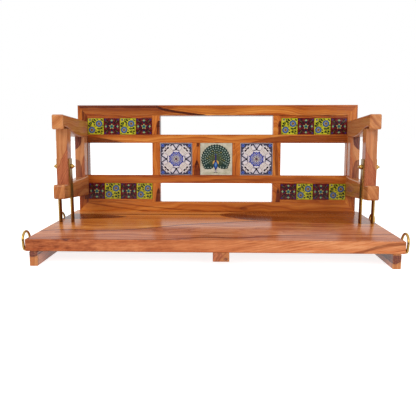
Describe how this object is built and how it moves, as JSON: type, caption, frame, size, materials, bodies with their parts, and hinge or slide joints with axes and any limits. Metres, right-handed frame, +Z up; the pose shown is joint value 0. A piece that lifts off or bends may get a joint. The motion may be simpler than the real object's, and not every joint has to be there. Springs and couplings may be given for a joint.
{
  "type": "jhoola swing seat",
  "caption": "Low wooden indoor swing seat: plank seat on battens, open back frame set with glazed tiles, open arm frames with brass bars, brass loops for hanging chains.",
  "frame": {"origin": "middle of the footprint, on the plane that the two side battens rest on", "axes": "+X to the right as seen from the front, +Y from the front edge towards the back, +Z up"},
  "size_m": [0.937, 0.4578, 0.4041],
  "materials": {
    "seat_wood": "glossy lacquer over hardwood grain",
    "back_wood": "glossy lacquer over hardwood grain",
    "arm_wood": "glossy lacquer over hardwood grain",
    "batten_wood": "glossy lacquer over hardwood grain",
    "plain_wood": "plain, unfinished",
    "bar_brass": "satin, lightly aged",
    "loop_brass": "polished",
    "screw_steel": "zinc plated",
    "yellow_glaze": "glossy painted glaze",
    "maroon_glaze": "glossy painted glaze",
    "rosette_glaze": "glossy painted glaze",
    "peacock_glaze": "glossy painted glaze"
  },
  "bodies": {
    "frame": {"arm_bolts": "loop_brass", "arm_dowels": "plain_wood", "arm_rail_left": "arm_wood", "arm_rail_right": "arm_wood", "arm_screws": "screw_steel", "back_rail_bottom": "back_wood", "back_rail_lower": "back_wood", "back_rail_top": "back_wood", "back_rail_upper": "back_wood", "back_screws": "screw_steel", "back_stile_left": "back_wood", "back_stile_right": "back_wood", "ball_nuts": "loop_brass", "bar_screws": "screw_steel", "batten_screws": "screw_steel", "centre_batten": "batten_wood", "divider_lower_left": "back_wood", "divider_lower_right": "back_wood", "divider_middle_1": "back_wood", "divider_middle_2": "back_wood", "divider_middle_3": "back_wood", "divider_middle_4": "back_wood", "divider_upper_left": "back_wood", "divider_upper_right": "back_wood", "front_post_left": "arm_wood", "front_post_right": "arm_wood", "inner_bar_left": "bar_brass", "inner_bar_right": "bar_brass", "large_tile_left": "rosette_glaze", "large_tile_peacock": "peacock_glaze", "large_tile_right": "rosette_glaze", "loop_lugs_front_left": "loop_brass", "loop_lugs_front_right": "loop_brass", "loop_lugs_rear_left": "loop_brass", "loop_lugs_rear_right": "loop_brass", "lower_rail_left": "arm_wood", "lower_rail_right": "arm_wood", "outer_bar_left": "bar_brass", "outer_bar_right": "bar_brass", "rear_post_left": "arm_wood", "rear_post_right": "arm_wood", "seat_plank_front": "seat_wood", "seat_plank_middle": "seat_wood", "seat_plank_rear": "seat_wood", "side_batten_left": "batten_wood", "side_batten_right": "batten_wood", "tile_backers": "plain_wood", "tile_fillets": "back_wood", "tiles_maroon_lower_left": "maroon_glaze", "tiles_maroon_lower_right": "maroon_glaze", "tiles_maroon_upper_left": "maroon_glaze", "tiles_maroon_upper_right": "maroon_glaze", "tiles_yellow_lower_left": "yellow_glaze", "tiles_yellow_lower_right": "yellow_glaze", "tiles_yellow_upper_left": "yellow_glaze", "tiles_yellow_upper_right": "yellow_glaze"},
    "hanging_loop_front_left": {"hanging_loop_front_left": "loop_brass"},
    "hanging_loop_front_right": {"hanging_loop_front_right": "loop_brass"},
    "hanging_loop_rear_left": {"hanging_loop_rear_left": "loop_brass"},
    "hanging_loop_rear_right": {"hanging_loop_rear_right": "loop_brass"}
  },
  "joints": [
    {"name": "loop_swing_front_left", "type": "hinge", "parent": "frame", "child": "hanging_loop_front_left", "pos_m": [-0.4625, -0.19975, 0.04], "axis": [0, -1, 0], "range_deg": [-7.5, 146]},
    {"name": "loop_swing_front_right", "type": "hinge", "parent": "frame", "child": "hanging_loop_front_right", "pos_m": [0.4625, -0.19975, 0.04], "axis": [0, 1, 0], "range_deg": [-7.5, 146]},
    {"name": "loop_swing_rear_left", "type": "hinge", "parent": "frame", "child": "hanging_loop_rear_left", "pos_m": [-0.4625, 0.07405, 0.04], "axis": [0, -1, 0], "range_deg": [-7.5, 146]},
    {"name": "loop_swing_rear_right", "type": "hinge", "parent": "frame", "child": "hanging_loop_rear_right", "pos_m": [0.4625, 0.07405, 0.04], "axis": [0, 1, 0], "range_deg": [-7.5, 146]}
  ]
}
